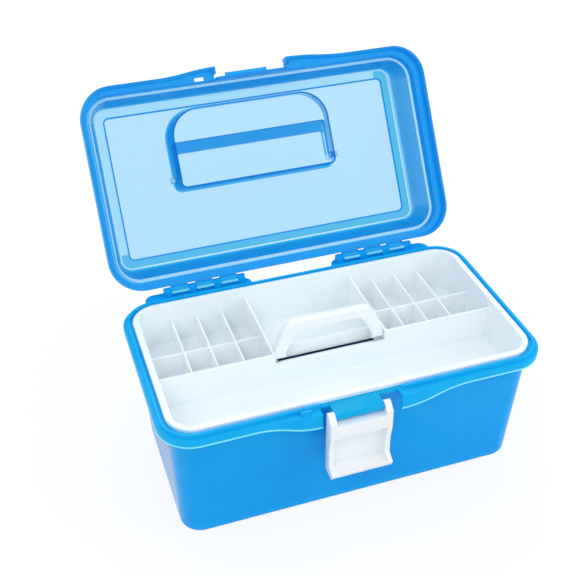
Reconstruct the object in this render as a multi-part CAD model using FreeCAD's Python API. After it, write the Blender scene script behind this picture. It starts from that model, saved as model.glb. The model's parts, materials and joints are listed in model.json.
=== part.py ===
"""Art supply box: a translucent tub with a hinged domed lid, a carry handle folded in
a pocket of the lid, a snap latch on the front and a lift-out tray with its own handle.

Millimetres, +Z up, +X along the box, front towards -Y. The origin is on the table, under
the middle of the tub. The lid is drawn closed and then turned open about its hinge pins.
"""
import FreeCAD, Part
import math
import os

V = FreeCAD.Vector
X_AXIS = V(1, 0, 0)
UP = V(0, 0, 1)

# Rim of the tub, which the lid's rim repeats
rim_length = 301.0
rim_width = 168.0
rim_corner = 27.0
ledge_height = 113.0
ledge_thick = 2.2
skirt_thick = 2.0
skirt_drop = 6.5
edge_round = 1.2

# Tub
bottom_length = 277.5
bottom_width = 135.5
bottom_corner = 17.0
bottom_round = 5.0
tub_wall = 2.4
tub_floor = 3.0
wall_inset = 7.5
upstand_inset = 3.2
upstand_thick = 2.0
upstand_height = 3.0
mark_diameter = 11.0
mark_depth = 0.8
mark_along = 115.0
mark_across = 49.0

# Outward sweep of both rims beside the latch
sweep_start = 84.0
sweep_out = 3.6
sweep_drop = 6.5
gap_left = 35.5
gap_right = 26.0

# Lid
lid_height = 50.0
lid_wall = 1.7
lid_seat_gap = 0.3
lid_rim_height = 12.0
step_inset = 5.2
step_height = 20.0
step_draft = 0.5
dome_inset = 7.0
dome_top_inset = 12.8
dome_top_tighter = 3.0
dome_forward = 3.0
dome_round = 4.0
panel_inset = 23.2
panel_rise = 1.2
lid_open = 123.0

# Carry handle and its pocket in the lid
pocket_offset = -4.0
pocket_length = 146.0
pocket_front = 58.5
pocket_rear = 9.5
pocket_depth = 18.0
pocket_side_draft = 3.9
pocket_end_draft = 2.1
pocket_front_corner = 25.0
pocket_rear_corner = 6.0
pocket_wall = 1.7
handle_reach = 27.0
handle_bar = 10.0
handle_thick = 9.0
handle_leg = 3.2
handle_corner = 3.0
handle_pivot = 5.0
handle_side_gap = 0.8
handle_top_gap = 0.6

# Hinges
hinge_middle = 76.0
hinge_post = 6.0
hinge_pitch = 21.0
hinge_posts = 4
hinge_barrel = 7.0
hinge_pin = 3.0
hinge_back = 4.6
hinge_rise = 3.9
hinge_tab = 91.0
hinge_tab_middle = 81.5
hinge_tab_reach = 9.5

# Latch
latch_offset = -8.5
latch_width = 48.0
latch_pivot_out = 3.6
latch_pivot_drop = 3.0
latch_pivot = 4.0
latch_ear = 5.0
latch_ear_up = 3.5
latch_side = 3.6
latch_plate = 2.0
latch_bar_top = 5.0
latch_bar = 12.0
latch_depth = 9.8
latch_waist = 7.5
latch_length = 53.0
latch_lip = 4.5
latch_lip_reach = 14.4
latch_swing_gap = 0.5
latch_block_chamfer = 3.0
notch_left = 34.0
notch_right = 28.0
notch_depth = 7.0
catch_height = 1.4
catch_out = 4.5

# Locating peg on the tub's rim and its window in the lid
peg_across = 47.0
peg_width = 8.0
peg_deep = 2.4
peg_height = 3.0
window_width = 8.0
window_deep = 3.2

# Tray
tray_rim_length = 286.0
tray_rim_width = 152.0
tray_rim_height = 3.6
tray_rim_wall = 1.6
tray_depth = 34.0
tray_wall = 1.6
tray_floor = 1.8
tray_gap = 1.2
tray_corner = 21.0
group_inner = 46.5
cell_pitch = 21.0
mid_wall_y = 27.5
front_wall_y = -8.5
tall_wall_below_rim = 7.5
short_wall_below_rim = 16.0
channel_rear_y = 3.5
channel_rear_below_rim = 10.0
channel_front_below_rim = 17.0
channel_floor_below_rim = 22.0
channel_slot = 3.0
channel_slot_end = 5.0

# Tray handle
bail_height = 29.0
bail_bar = 8.5
bail_thick = 7.0
bail_leg = 9.0
bail_top_length = 62.0
bail_pivot = 4.0
bail_pivot_below_rim = 12.6
bail_middle_y = -3.0
bail_lean = 3.0
bail_corner = 12.0
bail_side_gap = 0.5

# Running fits
pin_press = 0.02
pin_run = 0.08
stub_run = 0.08
slide_gap = 0.3

# Spare length of the shapes that only cut, and how near counts as level
over = 1.0
near = 1e-6

half_length = rim_length / 2
half_width = rim_width / 2
hinge_y = half_width + hinge_back
hinge_z = ledge_height + hinge_rise
latch_y = -half_width - latch_pivot_out
latch_z = ledge_height - latch_pivot_drop
lid_base = ledge_height + lid_seat_gap
lid_top = ledge_height + lid_height
panel_top = lid_top + panel_rise
tray_top = ledge_height + tray_rim_height
pocket_middle = V(pocket_offset, -dome_forward, 0)
gap_ends = ((-1, gap_left), (1, gap_right))


def rounded_wire(half_x, half_y, radius, z):
    """A rounded rectangle about the Z axis, from four lines and four arcs."""
    return corner_wire(-half_x, half_x, -half_y, half_y, radius, radius, z)


def corner_wire(x0, x1, y0, y1, front_radius, rear_radius, z):
    """A rectangle with one corner radius in front and another behind."""
    diagonal = 1 - math.sqrt(0.5)
    corners = [
        (x1, y0, front_radius, -1, 1, V(1, 0, 0), V(0, 1, 0)),
        (x1, y1, rear_radius, -1, -1, V(0, 1, 0), V(-1, 0, 0)),
        (x0, y1, rear_radius, 1, -1, V(-1, 0, 0), V(0, -1, 0)),
        (x0, y0, front_radius, 1, 1, V(0, -1, 0), V(1, 0, 0)),
    ]
    edges = []
    ends = []
    for x, y, r, sx, sy, along_in, along_out in corners:
        point = V(x, y, z)
        start = point - along_in * r
        stop = point + along_out * r
        middle = point + V(sx * r * diagonal, sy * r * diagonal, 0)
        ends.append((start, middle, stop))
    for n, (start, middle, stop) in enumerate(ends):
        edges.append(Part.Arc(start, middle, stop).toShape())
        edges.append(Part.LineSegment(stop, ends[(n + 1) % 4][0]).toShape())
    return Part.Wire(edges)


def slab(half_x, half_y, radius, z0, z1):
    """An upright block with rounded corners."""
    face = Part.Face(rounded_wire(half_x, half_y, radius, z0))
    return face.extrude(UP * (z1 - z0))


def rim_slab(inset, z0, z1, forward=0.0):
    """A block of the rim's outline, drawn in by inset and moved forward."""
    block = slab(half_length - inset, half_width - inset, rim_corner - inset, z0, z1)
    block.translate(V(0, -forward, 0))
    return block


def rim_taper(inset0, z0, inset1, z1, tighter=0.0, forward=0.0):
    """A block whose sides lean in from one inset of the rim's outline to another.

    tighter is taken off the upper outline's corner radius, and forward moves that outline.
    """
    wires = []
    for inset, z, less, ahead in ((inset0, z0, 0.0, 0.0), (inset1, z1, tighter, forward)):
        corner = rim_corner - inset - less
        half_x, half_y = half_length - inset, half_width - inset
        wires.append(corner_wire(-half_x, half_x, -half_y - ahead, half_y - ahead, corner, corner, z))
    return Part.makeLoft(wires, True, True)


def box(x0, x1, y0, y1, z0, z1):
    """A plain box between two corners."""
    return Part.makeBox(x1 - x0, y1 - y0, z1 - z0, V(x0, y0, z0))


def rod(x0, x1, y, z, diameter):
    """A round bar along X."""
    return Part.makeCylinder(diameter / 2, x1 - x0, V(x0, y, z), X_AXIS)


def prism(points, x0, x1):
    """A straight bar along X whose section is given as (y, z) corners."""
    corners = [V(x0, y, z) for y, z in points]
    face = Part.Face(Part.makePolygon(corners + corners[:1]))
    return face.extrude(X_AXIS * (x1 - x0))


def level_edges(shape, z):
    """The edges of a shape that lie flat at height z."""
    return [e for e in shape.Edges if all(abs(v.Z - z) < near for v in e.Vertexes)]


def joined(shapes):
    """One clean solid from pieces of a moulding that touch or overlap."""
    return shapes[0].multiFuse(shapes[1:]).removeSplitter()


def s_curve(start, stop, place):
    """Two equal arcs that leave start and reach stop level, as edges.

    place turns a pair of numbers into a point.
    """
    (x0, y0), (x1, y1) = start, stop
    turn = 2 * math.atan2(y1 - y0, x1 - x0)
    radius = (x1 - x0) / 2 / math.sin(turn)
    half = (radius * math.sin(turn / 2), radius * (1 - math.cos(turn / 2)))
    middle = ((x0 + x1) / 2, (y0 + y1) / 2)
    first = Part.Arc(place(start), place((x0 + half[0], y0 + half[1])), place(middle))
    second = Part.Arc(place(middle), place((x1 - half[0], y1 - half[1])), place(stop))
    return [first.toShape(), second.toShape()]


def sweep_band(side, end_x, inset, z0, z1):
    """The block between the rim's front edge and its outward sweep, on one side."""
    y0 = -half_width + inset
    back = -half_width + skirt_thick + edge_round
    start, stop = (sweep_start, y0), (end_x, y0 - sweep_out)

    def place(point):
        return V(side * point[0], point[1], z0)

    edges = s_curve(stop, start, place)
    corners = [start, (sweep_start, back), (end_x, back), stop]
    for a, b in zip(corners, corners[1:]):
        edges.append(Part.LineSegment(place(a), place(b)).toShape())
    return Part.Face(Part.Wire(Part.__sortEdges__(edges))).extrude(UP * (z1 - z0))


def sweep_inside(side, end_x, z0, z1):
    """The hollow behind the swept skirt, on one side."""
    return sweep_band(side, end_x, skirt_thick, z0, z1)


def tub_half(z):
    """Half the tub's outer length and width, and its corner radius, at height z."""
    share = z / ledge_height
    top = (half_length - wall_inset, half_width - wall_inset, rim_corner - wall_inset)
    low = (bottom_length / 2, bottom_width / 2, bottom_corner)
    return [a + (b - a) * share for a, b in zip(low, top)]


def tub_block(inset, z0, z1):
    """The tub's leaning sides between two heights, drawn in by inset."""
    wires = [rounded_wire(*[s - inset for s in tub_half(z)], z) for z in (z0, z1)]
    return Part.makeLoft(wires, True, True)


def latch_block():
    """The block under the rim that carries the latch's two pivots."""
    half = latch_width / 2 - latch_ear - slide_gap
    y0 = latch_y - latch_pivot
    z0 = latch_z - latch_bar_top + latch_swing_gap
    y1 = -tub_half(z0)[1] + tub_wall / 2
    section = [(y0 + latch_block_chamfer, z0), (y1, z0), (y1, ledge_height),
               (y0 + edge_round, ledge_height), (y0, ledge_height - edge_round),
               (y0, z0 + latch_block_chamfer)]
    block = prism(section, latch_offset - half, latch_offset + half)
    bore = rod(latch_offset - latch_width, latch_offset + latch_width, latch_y, latch_z,
               latch_pivot + 2 * stub_run)
    return block.cut(bore)


def hinge_starts():
    """Where each hinge post begins along X, for both hinges."""
    span = (hinge_posts - 1) * hinge_pitch + hinge_post
    starts = []
    for side in (-1, 1):
        first = side * hinge_middle - span / 2
        starts.append([first + n * hinge_pitch for n in range(hinge_posts)])
    return starts


def hinge_tabs():
    """The two rear tabs of the tub with the posts that hold the hinge pins."""
    pieces = []
    z0 = ledge_height - ledge_thick
    for side in (-1, 1):
        x = side * hinge_tab_middle
        wire = corner_wire(x - hinge_tab / 2, x + hinge_tab / 2,
                           half_width - skirt_thick - edge_round, half_width + hinge_tab_reach,
                           edge_round, hinge_tab_reach - edge_round, z0)
        pieces.append(Part.Face(wire).extrude(UP * ledge_thick))
    for start in [s for row in hinge_starts() for s in row]:
        stop = start + hinge_post
        pieces.append(rod(start, stop, hinge_y, hinge_z, hinge_barrel))
        pieces.append(box(start, stop, hinge_y - hinge_barrel / 2, hinge_y + hinge_barrel / 2,
                          ledge_height - ledge_thick / 2, hinge_z))
    return pieces


def base_tub():
    """The tub with its rim, floor marks, hinge tabs and latch block, one moulding."""
    body = tub_block(0, 0, ledge_height)
    body = body.makeFillet(bottom_round, level_edges(body, 0))
    hollow = tub_block(tub_wall, tub_floor, ledge_height + upstand_height)
    hollow = hollow.makeFillet(bottom_round - tub_wall, level_edges(hollow, tub_floor))

    rim = rim_slab(0, ledge_height - skirt_drop, ledge_height)
    rim = rim.makeFillet(edge_round, level_edges(rim, ledge_height))
    under_rim = rim_slab(skirt_thick, ledge_height - skirt_drop, ledge_height - ledge_thick)
    rim = rim.cut(under_rim)
    upstand = rim_slab(upstand_inset, ledge_height - ledge_thick, ledge_height + upstand_height)
    upstand = upstand.cut(rim_slab(upstand_inset + upstand_thick, ledge_height,
                                   ledge_height + upstand_height))
    pieces = [body, rim, upstand] + hinge_tabs() + [latch_block()]

    low = ledge_height - skirt_drop - sweep_drop
    for side, end_x in gap_ends:
        band = sweep_band(side, end_x, 0, low, ledge_height)
        pieces.append(band.common(sweep_edge(side, end_x, low)))

    peg_y = -half_width - peg_deep / 2 + skirt_thick
    pieces.append(box(-peg_across - peg_width / 2, -peg_across + peg_width / 2,
                      peg_y - peg_deep / 2, peg_y + peg_deep / 2,
                      ledge_height - ledge_thick, ledge_height + peg_height))

    tub = joined(pieces).cut(hollow).cut(ledge_gap_cut())
    tub = tub.cut(box(-notch_left - slide_gap, notch_right + slide_gap, -half_width,
                      -half_width + upstand_inset + upstand_thick, ledge_height, tray_top))
    for side, end_x in gap_ends:
        tub = tub.cut(sweep_inside(side, end_x, low, ledge_height - ledge_thick))
    for x in (-mark_along, mark_along):
        for y in (-mark_across, mark_across):
            tub = tub.cut(Part.makeCylinder(mark_diameter / 2, mark_depth, V(x, y, 0)))
    for row in hinge_starts():
        tub = tub.cut(rod(row[0] - over, row[-1] + hinge_post + over, hinge_y, hinge_z,
                          hinge_pin + 2 * pin_press))
    return tub.removeSplitter()


def sweep_edge(side, end_x, low):
    """The block above the swept skirt's dipping lower edge, on one side."""
    high = low + sweep_drop
    y0, depth = -rim_width, rim_width

    def place(point):
        return V(side * point[0], y0, point[1])

    edges = s_curve((end_x, low), (sweep_start, high), place)
    top = ledge_height + over
    corners = [(sweep_start, high), (sweep_start, top), (end_x, top), (end_x, low)]
    for a, b in zip(corners, corners[1:]):
        edges.append(Part.LineSegment(place(a), place(b)).toShape())
    return Part.Face(Part.Wire(Part.__sortEdges__(edges))).extrude(V(0, depth, 0))


def ledge_gap_cut():
    """The gaps in the tub's rim skirt that the latch's ears swing through."""
    inner = latch_width / 2 - latch_ear - slide_gap
    reach = latch_ear_up + latch_swing_gap
    y1 = latch_y + latch_depth - latch_plate + latch_swing_gap
    cuts = []
    for side, end_x in gap_ends:
        x0, x1 = sorted((latch_offset + side * inner, side * end_x))
        cuts.append(box(x0, x1, latch_y - latch_depth, y1, latch_z - reach - latch_bar_top, tray_top))
    return cuts[0].fuse(cuts[1])


def opened(shape):
    """A shape of the closed lid, turned to where the lid stands open."""
    shape = shape.copy()
    shape.rotate(V(0, hinge_y, hinge_z), X_AXIS, -lid_open)
    return shape


def pocket_block(grow, z0, z1):
    """The carry handle's D-shaped pocket, rounder in front, narrower at its floor."""
    wires = []
    for z, share in ((z0, 1), (z1, 0)):
        half = pocket_length / 2 + grow - share * pocket_side_draft
        inset = share * pocket_end_draft - grow
        wires.append(corner_wire(-half, half, -pocket_front + inset, pocket_rear - inset,
                                 pocket_front_corner - inset, pocket_rear_corner - inset, z))
    block = Part.makeLoft(wires, True, True)
    block.translate(pocket_middle)
    return block


def lid_knuckles():
    """The lid's hinge knuckles between the tub's posts, with their webs."""
    pieces = []
    for row in hinge_starts():
        for start in row[:-1]:
            x0 = start + hinge_post + slide_gap
            x1 = start + hinge_pitch - slide_gap
            pieces.append(rod(x0, x1, hinge_y, hinge_z, hinge_barrel))
            pieces.append(box(x0, x1, half_width - skirt_thick, hinge_y, hinge_z,
                              hinge_z + hinge_barrel / 2))
    return pieces


def lid():
    """The domed lid with its rim, step, panel, handle pocket, notch and knuckles."""
    rim_top = ledge_height + lid_rim_height
    step_top = ledge_height + step_height
    rim = rim_slab(0, lid_base, rim_top)
    rim = rim.makeFillet(edge_round, level_edges(rim, rim_top))
    step = rim_taper(step_inset, rim_top - lid_wall, step_inset + step_draft, step_top)
    dome = rim_taper(dome_inset, step_top - lid_wall, dome_top_inset, lid_top, dome_top_tighter,
                     dome_forward)
    dome = dome.makeFillet(dome_round, level_edges(dome, lid_top))
    dome_hollow = rim_taper(dome_inset + lid_wall, step_top - 2 * lid_wall, dome_top_inset + lid_wall,
                            lid_top - lid_wall, dome_top_tighter, dome_forward)
    panel = rim_slab(panel_inset - lid_wall, lid_top - lid_wall, panel_top, dome_forward)
    pocket_floor = panel_top - pocket_depth
    shell = pocket_block(pocket_wall, pocket_floor - pocket_wall, panel_top - lid_wall / 2)

    pieces = [rim, step, dome, panel] + lid_knuckles()
    hollows = [
        rim_slab(skirt_thick, lid_base - over, rim_top - lid_wall),
        rim_slab(step_inset + lid_wall, lid_base, step_top - lid_wall),
        dome_hollow,
        rim_slab(panel_inset, step_top, panel_top - lid_wall, dome_forward),
    ]
    for side, end_x in ((-1, notch_left), (1, notch_right)):
        pieces.append(sweep_band(side, end_x, 0, lid_base, rim_top))
        hollows.append(sweep_inside(side, end_x + skirt_thick, lid_base, rim_top - lid_wall))
    shape = joined(pieces)
    for hollow in hollows:
        shape = shape.cut(hollow)
    shape = shape.fuse(shell).cut(pocket_block(0, pocket_floor, panel_top + over))

    notch_y = -half_width + notch_depth
    notch = box(-notch_left, notch_right, -rim_width, notch_y - skirt_thick,
                lid_base - over, rim_top + over)
    back = box(-notch_left, notch_right, notch_y - skirt_thick, notch_y, lid_base, rim_top)
    shape = joined([shape.cut(notch), back, catch(notch_y)])

    window_y = -half_width + skirt_thick + window_deep / 2
    shape = shape.cut(box(-peg_across - window_width / 2, -peg_across + window_width / 2,
                          window_y - window_deep / 2, window_y + window_deep / 2,
                          rim_top - lid_wall - over, rim_top + over))
    for row in hinge_starts():
        shape = shape.cut(rod(row[0], row[-1] + hinge_post, hinge_y, hinge_z, hinge_pin + 2 * pin_run))
        for start in row:
            shape = shape.cut(box(start - slide_gap, start + hinge_post + slide_gap, half_width,
                                  hinge_y + hinge_barrel, lid_base - over,
                                  hinge_z + hinge_barrel / 2 + slide_gap))
    reach = stub_reach() + handle_side_gap
    pivot_z = panel_top - handle_top_gap - handle_thick / 2
    bore = rod(-reach, reach, 0, pivot_z, handle_pivot + 2 * stub_run)
    bore.translate(pocket_middle)
    return shape.cut(bore).removeSplitter()


def stub_reach():
    """How far the carry handle's pivot stubs reach out from the middle."""
    return pocket_length / 2 + pocket_wall + handle_pivot / 2


def catch(notch_y):
    """The ridge at the foot of the lid's notch that the latch hooks over."""
    half = latch_width / 2 - latch_ear - 2 * latch_swing_gap
    return box(latch_offset - half, latch_offset + half, notch_y - catch_out, notch_y,
               lid_base, lid_base + catch_height)


def carry_handle():
    """The fold-flat handle: a grip bar and two legs with pivot stubs, lying in the pocket."""
    half = pocket_length / 2 - pocket_side_draft * handle_thick / pocket_depth - handle_side_gap
    z1 = panel_top - handle_top_gap
    z0 = z1 - handle_thick
    front = -handle_reach - handle_bar / 2
    eye = handle_thick / 2
    wire = corner_wire(-half, half, front, eye, handle_corner, edge_round, z0)
    body = Part.Face(wire).extrude(UP * handle_thick)
    body = body.makeFillet(edge_round, level_edges(body, z0) + level_edges(body, z1))
    gap_wire = corner_wire(-half + handle_leg, half - handle_leg, front + handle_bar, eye + handle_bar,
                           handle_corner / 2, edge_round, z0 - over)
    body = body.cut(Part.Face(gap_wire).extrude(UP * (handle_thick + 2 * over)))
    round_ends = rod(-half, half, 0, z0 + eye, handle_thick).fuse(
        box(-half, half, front, 0, z0, z1))
    body = body.common(round_ends)
    for side in (-1, 1):
        x0, x1 = sorted((side * (half - handle_leg / 2), side * stub_reach()))
        body = body.fuse(rod(x0, x1, 0, z0 + eye, handle_pivot))
    body.translate(pocket_middle)
    return body.removeSplitter()


def latch():
    """The snap latch, hanging open: plate, side walls, hook bar, ears, lip and pivot stubs."""
    x0 = latch_offset - latch_width / 2
    x1 = latch_offset + latch_width / 2
    back = latch_y + latch_plate
    bar_z1 = latch_z - latch_bar_top
    bar_z0 = bar_z1 - latch_bar
    foot = latch_z - latch_length
    front = back - latch_depth
    waist = back - latch_waist
    lip = back - latch_lip_reach
    upper = [(front, bar_z0), (front, latch_z - latch_pivot / 2),
             (latch_y - latch_pivot / 2, latch_z + latch_ear_up), (latch_y, latch_z + latch_ear_up),
             (back, latch_z + latch_pivot / 2)]
    side = [(back, foot), (lip + latch_plate, foot), (lip, foot + latch_lip), (waist, foot + 2 * latch_lip),
            (waist, bar_z0 - latch_bar)]
    pieces = [
        box(x0, x1, back - latch_plate, back, foot, bar_z1),
        box(x0, x1, front, back, bar_z0, bar_z1),
        prism(side[:3] + [(back, foot + latch_lip)], x0, x1),
    ]
    for start in (x0, x1 - latch_side):
        pieces.append(prism(side + upper, start, start + latch_side))
    for start in (x0, x1 - latch_ear):
        pieces.append(prism([(back, bar_z1)] + upper, start, start + latch_ear))
    shape = joined(pieces)
    shape = shape.cut(box(x0 + latch_ear, x1 - latch_ear, front + latch_plate, back - latch_plate,
                          bar_z0 - over, bar_z1 - latch_plate))
    stub = latch_ear + latch_pivot
    for a in (x0, x1 - stub):
        shape = shape.fuse(rod(a, a + stub, latch_y, latch_z, latch_pivot))
    return shape.removeSplitter()


def tray_half(z):
    """Half the tray's outer length and width, and its corner radius, at height z."""
    return [s - tub_wall - tray_gap for s in tub_half(z)]


def tray_block(inset, z0, z1):
    """The tray's leaning sides between two heights, drawn in by inset."""
    wires = [rounded_wire(*[s - inset for s in tray_half(z)], z) for z in (z0, z1)]
    return Part.makeLoft(wires, True, True)


def tray():
    """The lift-out tray: body, turned rim, cell walls and the handle's channel."""
    bottom = ledge_height - tray_depth
    body = tray_block(0, bottom, tray_top)
    hollow = tray_block(tray_wall, bottom + tray_floor, tray_top + over)
    rim_half = (tray_rim_length / 2, tray_rim_width / 2)
    rim = slab(*rim_half, tray_corner, ledge_height, tray_top)
    rim = rim.makeFillet(edge_round, level_edges(rim, tray_top))
    rim = rim.cut(slab(rim_half[0] - tray_rim_wall, rim_half[1] - tray_rim_wall,
                       tray_corner - tray_rim_wall, ledge_height, tray_top - tray_rim_wall))
    shell = joined([body, rim]).cut(hollow)
    walls = joined([wall.common(tray_block(tray_wall / 2, bottom, tray_top)) for wall in tray_walls()])
    shape = shell.fuse(walls)
    y0 = front_wall_y + tray_wall / 2
    y1 = channel_rear_y - tray_wall / 2
    half = group_inner - tray_wall / 2
    floor_z = tray_top - channel_floor_below_rim
    shape = shape.cut(box(-half, half, y0, y1, bottom - over, floor_z - tray_wall))
    shape = shape.cut(box(-half + channel_slot_end, half - channel_slot_end, y1 - channel_slot, y1,
                          bottom - over, floor_z + over))
    pivot_z = tray_top - bail_pivot_below_rim
    shape = shape.cut(rod(-group_inner - tray_wall, group_inner + tray_wall, bail_middle_y, pivot_z,
                          bail_pivot + 2 * stub_run))
    return shape.removeSplitter()


def tray_walls():
    """The tray's cell walls as plain boxes that run into its sides."""
    bottom = ledge_height - tray_depth
    far_x, far_y = tray_rim_length / 2, tray_rim_width / 2
    t = tray_wall / 2
    cells = int((tray_half(bottom)[0] - group_inner) / cell_pitch)
    short_z = tray_top - short_wall_below_rim
    tall_z = tray_top - tall_wall_below_rim
    walls = []
    for side in (-1, 1):
        inner = side * group_inner
        walls.append(box(inner - t, inner + t, front_wall_y - t, far_y, bottom, tall_z))
        low, high = sorted((inner, side * far_x))
        walls.append(box(low, high, front_wall_y - t, front_wall_y + t, bottom, tall_z))
        walls.append(box(low, high, mid_wall_y - t, mid_wall_y + t, bottom, short_z))
        for n in range(1, cells):
            x = inner + side * n * cell_pitch
            walls.append(box(x - t, x + t, front_wall_y, far_y, bottom, short_z))
    walls.append(box(-group_inner, group_inner, front_wall_y - t, front_wall_y + t, bottom,
                     tray_top - channel_front_below_rim))
    walls.append(box(-group_inner, group_inner, channel_rear_y - t, channel_rear_y + t, bottom,
                     tray_top - channel_rear_below_rim))
    floor_z = tray_top - channel_floor_below_rim
    walls.append(box(-group_inner, group_inner, front_wall_y, channel_rear_y, floor_z - tray_wall, floor_z))
    return walls


def tray_handle():
    """The tray's swinging handle: a bar on two slanting legs with pivot stubs."""
    z = tray_top - bail_pivot_below_rim
    eye = bail_leg / 2
    half = group_inner - tray_wall / 2 - bail_side_gap
    top = z + bail_height
    y0 = bail_middle_y - bail_thick / 2
    shoulder = bail_top_length / 2 + eye
    outer = [(half, z), (half, z + eye), (shoulder, top), (-shoulder, top), (-half, z + eye), (-half, z)]
    inner = [(half - bail_leg, z), (half - bail_leg, z + eye / 2), (shoulder - bail_leg, top - bail_bar),
             (-shoulder + bail_leg, top - bail_bar), (-half + bail_leg, z + eye / 2), (-half + bail_leg, z)]
    corners = [V(x, y0, h) for x, h in outer + inner[::-1]]
    body = Part.Face(Part.makePolygon(corners + corners[:1])).extrude(V(0, bail_thick, 0))
    for height, radius in ((top, bail_corner), (top - bail_bar, bail_corner - bail_leg / 2)):
        turns = [e for e in level_edges(body, height) if e.BoundBox.XLength < near]
        body = body.makeFillet(radius, turns)
    body = body.makeFillet(edge_round, [e for e in body.Edges if abs(e.BoundBox.YLength) < near
                                        and e.BoundBox.ZMax > z + over])
    for side in (-1, 1):
        x0, x1 = sorted((side * half, side * (half - bail_leg)))
        body = body.fuse(rod(x0, x1, bail_middle_y, z, bail_thick))
        x0, x1 = sorted((side * (half - eye), side * (group_inner + tray_wall / 2 + bail_side_gap)))
        body = body.fuse(rod(x0, x1, bail_middle_y, z, bail_pivot))
    body = body.removeSplitter()
    body.rotate(V(0, bail_middle_y, z), X_AXIS, -bail_lean)
    return body


def hinge_pins():
    """The two hinge pins, left then right."""
    pins = []
    for row in hinge_starts():
        pins.append(rod(row[0], row[-1] + hinge_post, hinge_y, hinge_z, hinge_pin))
    return pins


def main():
    """Build every piece and write it out."""
    left_pin, right_pin = hinge_pins()
    nodes = {
        "base_tub": base_tub(),
        "lid": opened(lid()),
        "hinge_pin_left": left_pin,
        "hinge_pin_right": right_pin,
        "carry_handle": opened(carry_handle()),
        "latch": latch(),
        "tray": tray(),
        "tray_handle": tray_handle(),
    }
    os.makedirs("parts", exist_ok=True)
    for name, shape in nodes.items():
        shape.exportStep(f"parts/{name}.step")
        print(name, len(shape.Solids), "solid", shape.isValid(), round(shape.Volume / 1000, 1), "cm3")


main()
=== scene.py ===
"""Looks of an art supply box: clear blue mouldings, a milk-white tray, latch and tray handle.

Every moulding is a merged, smooth-shaded copy of its CAD node with its moulded edges eased, and with
lines of painted highlight and painted shade split off its faces. The two hinge pins come from one
Geometry Nodes tree. Metres, +Z up.
"""
import json
import logging
import math
from dataclasses import dataclass, field
from enum import Enum, IntEnum
from typing import Any, Callable

import bmesh
import bpy
from mathutils import Matrix, Vector


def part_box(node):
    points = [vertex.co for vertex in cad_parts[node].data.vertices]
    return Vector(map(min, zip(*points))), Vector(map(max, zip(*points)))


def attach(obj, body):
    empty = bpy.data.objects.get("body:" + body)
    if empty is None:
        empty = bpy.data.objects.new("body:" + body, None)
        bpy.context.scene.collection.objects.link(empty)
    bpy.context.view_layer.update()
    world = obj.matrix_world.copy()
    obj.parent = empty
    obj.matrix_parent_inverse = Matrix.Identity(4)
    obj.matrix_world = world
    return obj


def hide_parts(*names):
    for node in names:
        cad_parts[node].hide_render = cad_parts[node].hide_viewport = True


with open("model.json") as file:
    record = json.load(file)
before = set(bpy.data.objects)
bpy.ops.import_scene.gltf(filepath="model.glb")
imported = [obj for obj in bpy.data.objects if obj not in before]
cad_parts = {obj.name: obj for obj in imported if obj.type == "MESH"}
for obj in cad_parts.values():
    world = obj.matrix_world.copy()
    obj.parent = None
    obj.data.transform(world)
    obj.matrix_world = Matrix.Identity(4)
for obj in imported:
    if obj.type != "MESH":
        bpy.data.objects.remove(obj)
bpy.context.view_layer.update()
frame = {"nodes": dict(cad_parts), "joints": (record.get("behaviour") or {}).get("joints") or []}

log = logging.getLogger("art_supply_box")
MM = 0.001
SAME_CORNER = 0.002 * MM  # Corners nearer than this are one.
SAME_PLACE = 0.1 * MM  # Places nearer than this along an axis are the same.
ALONG = 0.9  # Least share of a face's normal on the axis that it looks along.
UNDER = 0.8  # Least share of a face's normal on -Z under a lip.
UPRIGHT = 0.3  # Greatest share of an upright face's normal on Z.
FLAT_UNDER = math.radians(0.6)  # Faces that meet at less than this are one.
EASED_OVER = math.radians(38)  # Edges over this are eased.
SHARP_OVER = math.radians(48)  # Edges over this look sharp on a moulding.
PIN_SHARP_OVER = math.radians(40)  # Edges over this look sharp on a pin.
EASING_STEPS = 3
ALONG_X = Vector((1, 0, 0))
ALONG_Y = Vector((0, 1, 0))
ALONG_Z = Vector((0, 0, 1))
WHITE = (1.0, 1.0, 1.0)
Colour = tuple[float, float, float]
Place = tuple[float, float, float]
Band = tuple[float, float]


class Body(Enum):
    """The bodies that pieces ride on."""

    TUB = "tub"
    LID = "lid"
    CARRY_HANDLE = "carry_handle"
    LATCH = "latch"
    TRAY = "tray"
    TRAY_HANDLE = "tray_handle"


class Slot(Enum):
    """The record's material slots."""

    BLUE = "blue_plastic"
    WHITE = "white_plastic"


class Seen(Enum):
    """Light Path outputs by which the eye meets the studio's white surround."""

    CAMERA = "Is Camera Ray"
    MIRRORED = "Is Glossy Ray"
    THROUGH = "Is Transmission Ray"


class TubZone(IntEnum):
    """The tub's finishes, by material index: the rim's is painted light, the lip's and edges' painted
    highlight.
    """

    WALLS = 0
    RIM = 1
    LIP = 2
    EDGE = 3


class LidZone(IntEnum):
    """The lid's finishes, by material index, with painted highlights, painted shade lines and a painted
    shade margin among them.
    """

    DOME = 0
    RIM = 1
    KNUCKLE = 2
    LINE = 3
    MARGIN = 4
    SHADED_MARGIN = 5
    PALE_HIGHLIGHT = 6
    EDGE = 7


class TrayZone(IntEnum):
    """The tray's finishes, by material index; the throat's is painted shade."""

    CELLS = 0
    THROAT = 1
    EDGE = 2


class BarZone(IntEnum):
    """The carry handle's finishes, by material index; the stubs' is a painted highlight."""

    BAR = 0
    LEG = 1
    STUB = 2
    EDGE = 3


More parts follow.
